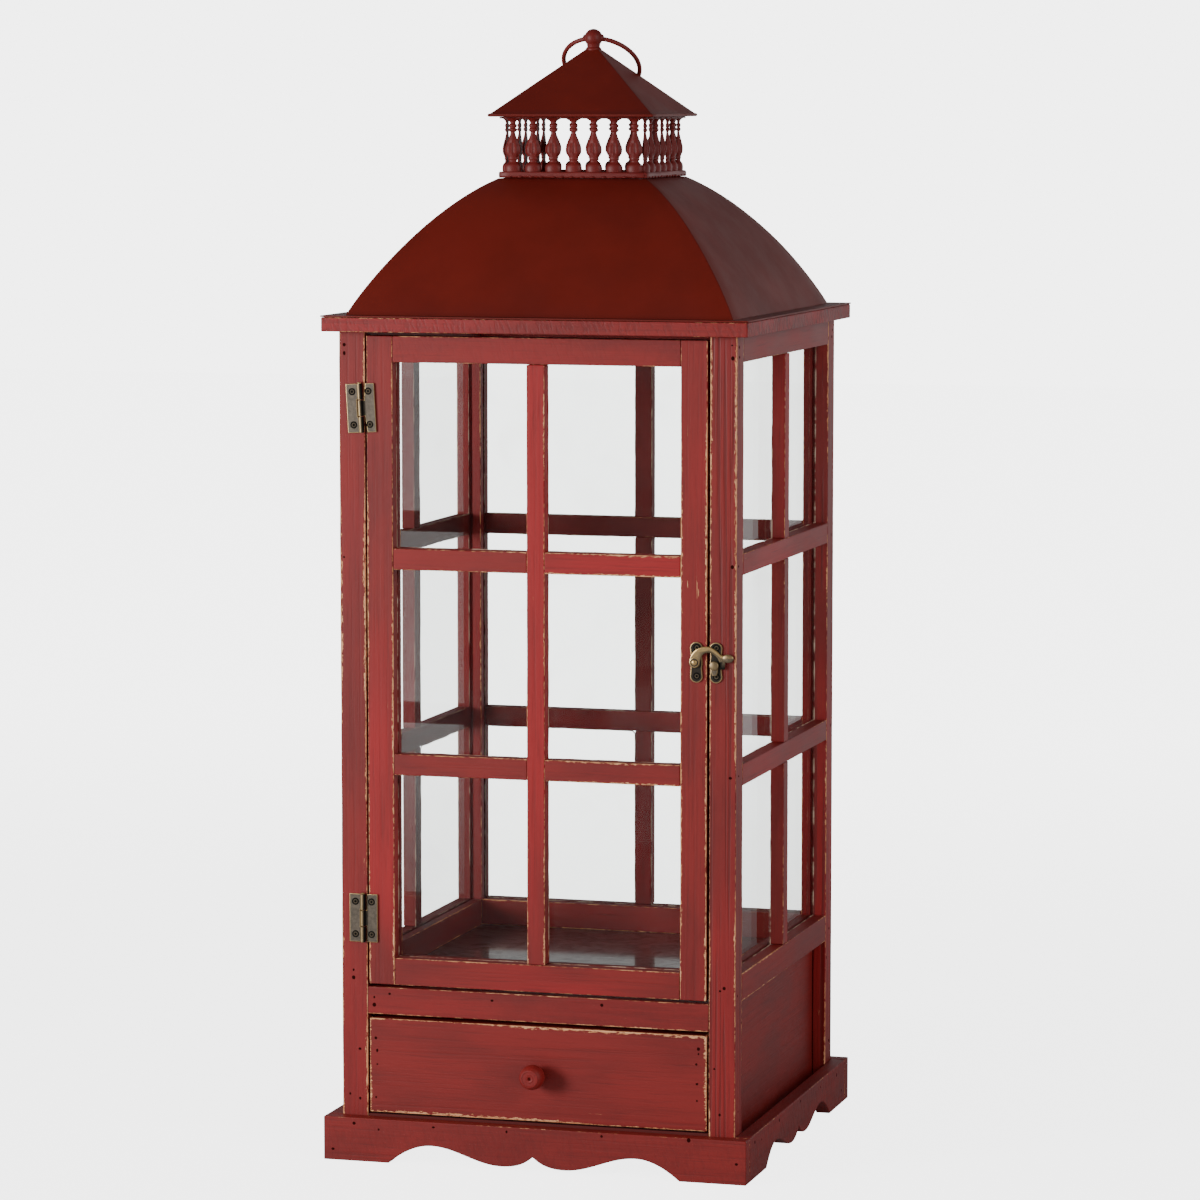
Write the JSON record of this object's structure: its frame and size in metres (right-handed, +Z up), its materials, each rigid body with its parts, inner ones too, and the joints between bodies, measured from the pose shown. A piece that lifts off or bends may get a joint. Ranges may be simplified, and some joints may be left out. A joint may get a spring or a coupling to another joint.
{
  "type": "barn lantern",
  "caption": "Glazed square wooden lantern with a side-hinged glazed door, hook latch, base drawer, domed metal roof, baluster gallery and ring handle.",
  "frame": {"origin": "centre of the base at floor level", "axes": "+X right seen from the door, -Y towards the door and drawer, +Z up"},
  "size_m": [0.312, 0.3202, 0.8055],
  "materials": {
    "barn_red_wood": "worn barn-red paint over brown wood, tan at the edges",
    "bare_wood": "unpainted aged softwood",
    "floor_paint": "glossy dark red-brown paint",
    "dome_paint": "satin dark red-brown paint on sheet metal",
    "antique_brass": "tarnished antique brass",
    "glass": "clear thin window glass"
  },
  "bodies": {
    "frame": {"front_left_post": "barn_red_wood", "front_right_post": "barn_red_wood", "back_left_post": "barn_red_wood", "back_right_post": "barn_red_wood", "left_bottom_rail": "barn_red_wood", "left_top_rail": "barn_red_wood", "left_muntins": "barn_red_wood", "left_glass": "glass", "left_lower_panel": "barn_red_wood", "right_bottom_rail": "barn_red_wood", "right_top_rail": "barn_red_wood", "right_muntins": "barn_red_wood", "right_glass": "glass", "right_lower_panel": "barn_red_wood", "back_bottom_rail": "barn_red_wood", "back_top_rail": "barn_red_wood", "back_muntins": "barn_red_wood", "back_glass": "glass", "back_lower_panel": "barn_red_wood", "middle_rail": "barn_red_wood", "cabin_floor": "floor_paint", "drawer_bay_floor": "bare_wood", "door_stop": "barn_red_wood", "front_apron": "barn_red_wood", "back_apron": "barn_red_wood", "left_apron": "barn_red_wood", "right_apron": "barn_red_wood", "cornice_board": "barn_red_wood", "dome": "dome_paint", "front_gallery": "dome_paint", "back_gallery": "dome_paint", "left_gallery": "dome_paint", "right_gallery": "dome_paint", "upper_roof": "dome_paint", "finial": "dome_paint", "upper_hinge_post_leaf": "antique_brass", "upper_hinge_pin": "antique_brass", "lower_hinge_post_leaf": "antique_brass", "lower_hinge_pin": "antique_brass", "keeper_plate": "antique_brass"},
    "door": {"door_left_stile": "barn_red_wood", "door_right_stile": "barn_red_wood", "door_bottom_rail": "barn_red_wood", "door_top_rail": "barn_red_wood", "door_muntins": "barn_red_wood", "door_glass": "glass", "upper_hinge_door_leaf": "antique_brass", "lower_hinge_door_leaf": "antique_brass", "latch_plate": "antique_brass"},
    "hook": {"latch_hook": "antique_brass"},
    "drawer": {"drawer_front": "barn_red_wood", "drawer_left_side": "bare_wood", "drawer_right_side": "bare_wood", "drawer_back": "bare_wood", "drawer_bottom": "bare_wood", "drawer_knob": "barn_red_wood"},
    "ring": {"ring_handle": "dome_paint"}
  },
  "joints": [
    {"name": "door_hinge", "type": "hinge", "parent": "frame", "child": "door", "pos_m": [-0.1283, -0.14745, 0.35655], "axis": [0, 0, -1], "range_deg": [0, 170]},
    {"name": "hook_pivot", "type": "hinge", "parent": "door", "child": "hook", "pos_m": [0.1157, -0.1473, 0.366], "axis": [0, -1, 0], "range_deg": [0, 115]},
    {"name": "drawer_slide", "type": "slide", "parent": "frame", "child": "drawer", "axis": [0, -1, 0], "range_m": [0, 0.2]},
    {"name": "ring_pivot", "type": "hinge", "parent": "frame", "child": "ring", "pos_m": [0, 0, 0.79839], "axis": [1, 0, 0], "range_deg": [0, 261.8]}
  ]
}
